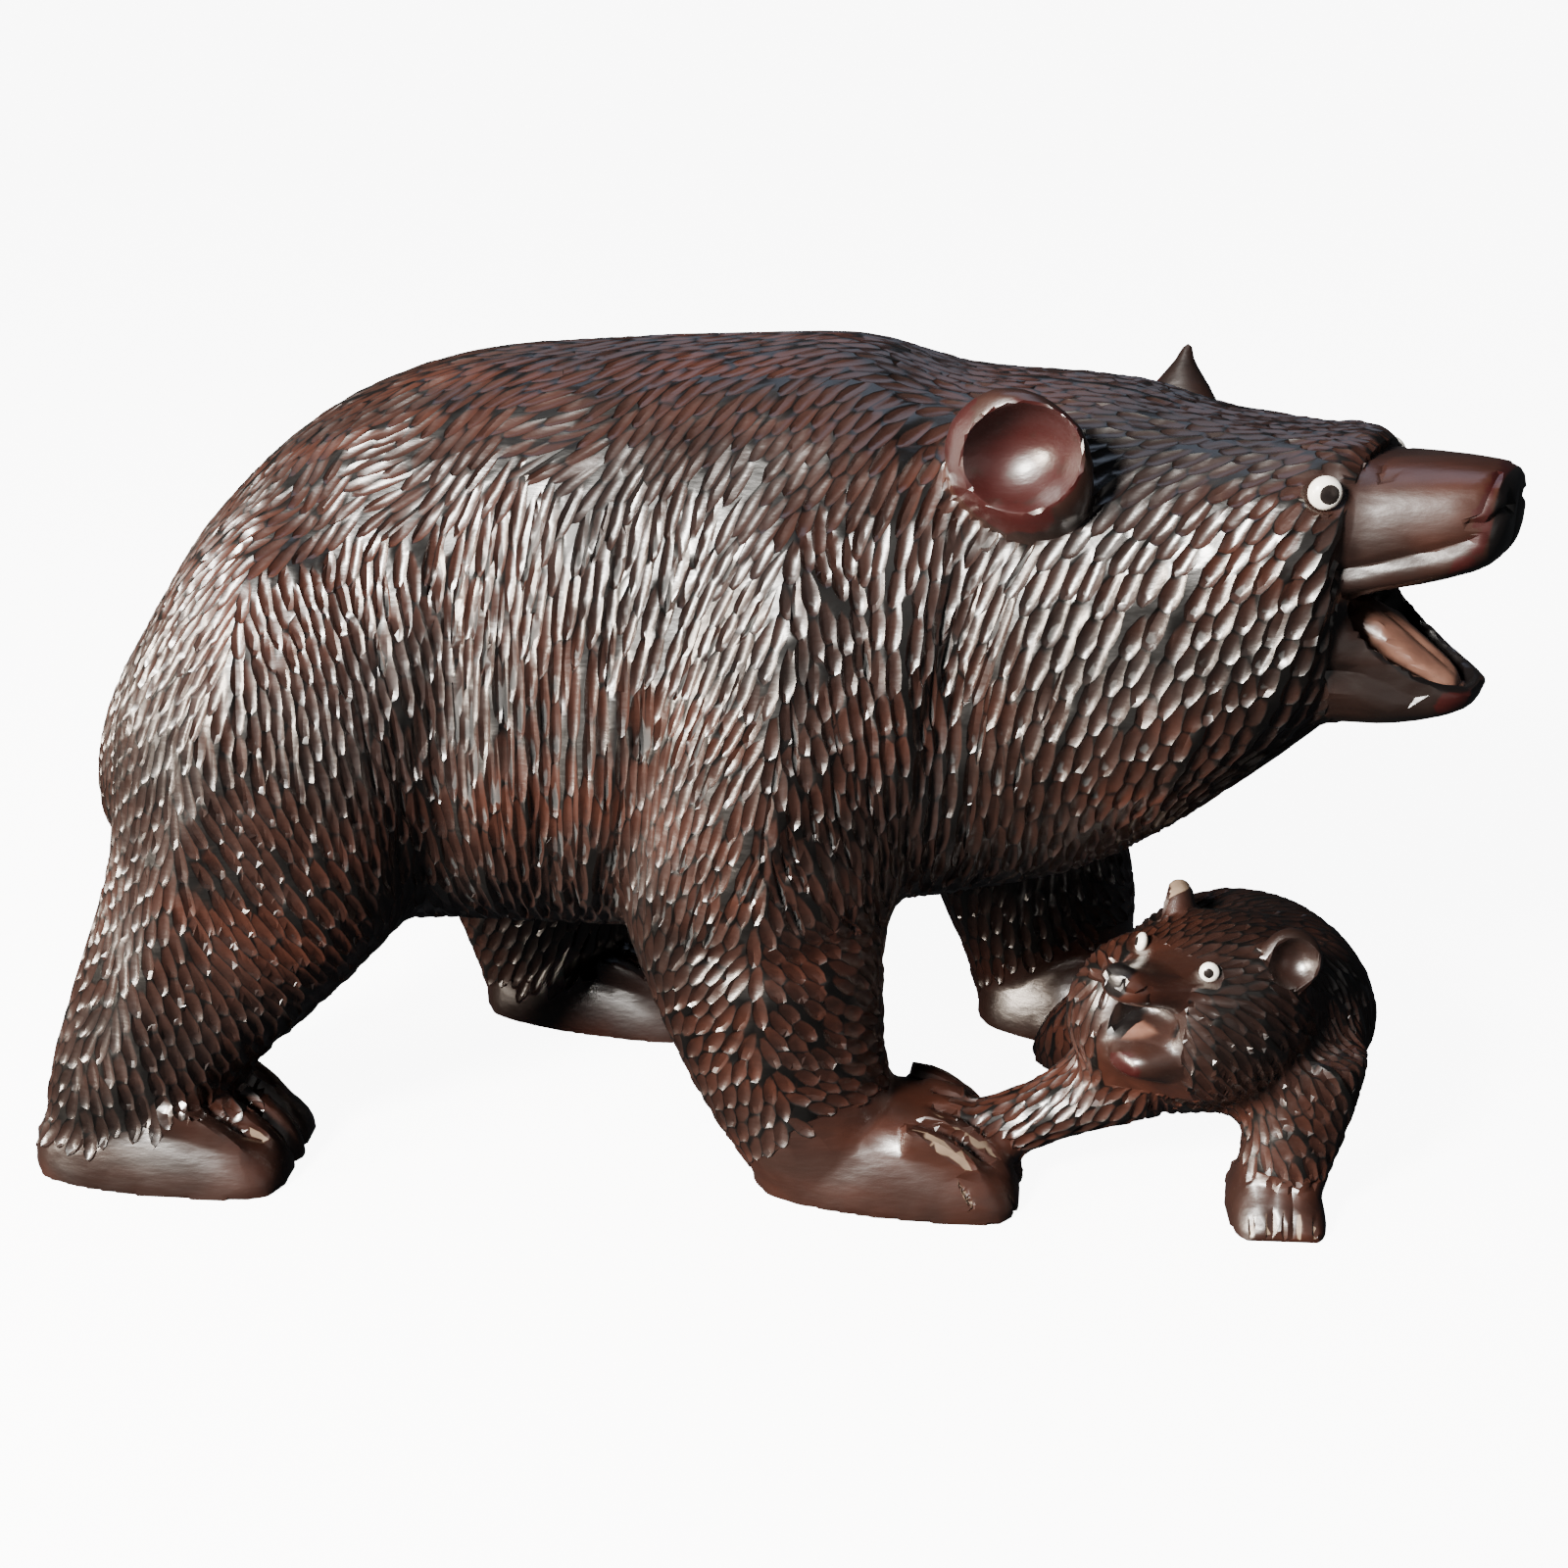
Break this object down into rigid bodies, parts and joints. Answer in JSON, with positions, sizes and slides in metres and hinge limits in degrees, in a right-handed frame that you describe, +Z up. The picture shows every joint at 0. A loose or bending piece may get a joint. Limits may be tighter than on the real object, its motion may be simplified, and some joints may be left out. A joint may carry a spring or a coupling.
{
  "type": "carved wooden bear with cub",
  "caption": "Carved wooden mother bear walking with open mouth, her cub at her forefoot, cut from one block, with inlaid bead eyes.",
  "frame": {"origin": "on the ground, under the middle of the carving's box", "axes": "+X the way the mother walks, +Y to her left, away from the cub's face, +Z up"},
  "size_m": [0.437, 0.1876, 0.2511],
  "materials": {
    "lacquered_wood": "dark walnut-black stained wood, gouge carved, semi-gloss lacquer; claws, tongues and a few cut tips left in the bare wood's tan",
    "eye_bead": "glossy white bead with a black pupil"
  },
  "bodies": {
    "root": {"bear_and_cub": "lacquered_wood", "mother_right_eye": "eye_bead", "mother_left_eye": "eye_bead", "cub_right_eye": "eye_bead", "cub_left_eye": "eye_bead"}
  },
  "joints": []
}
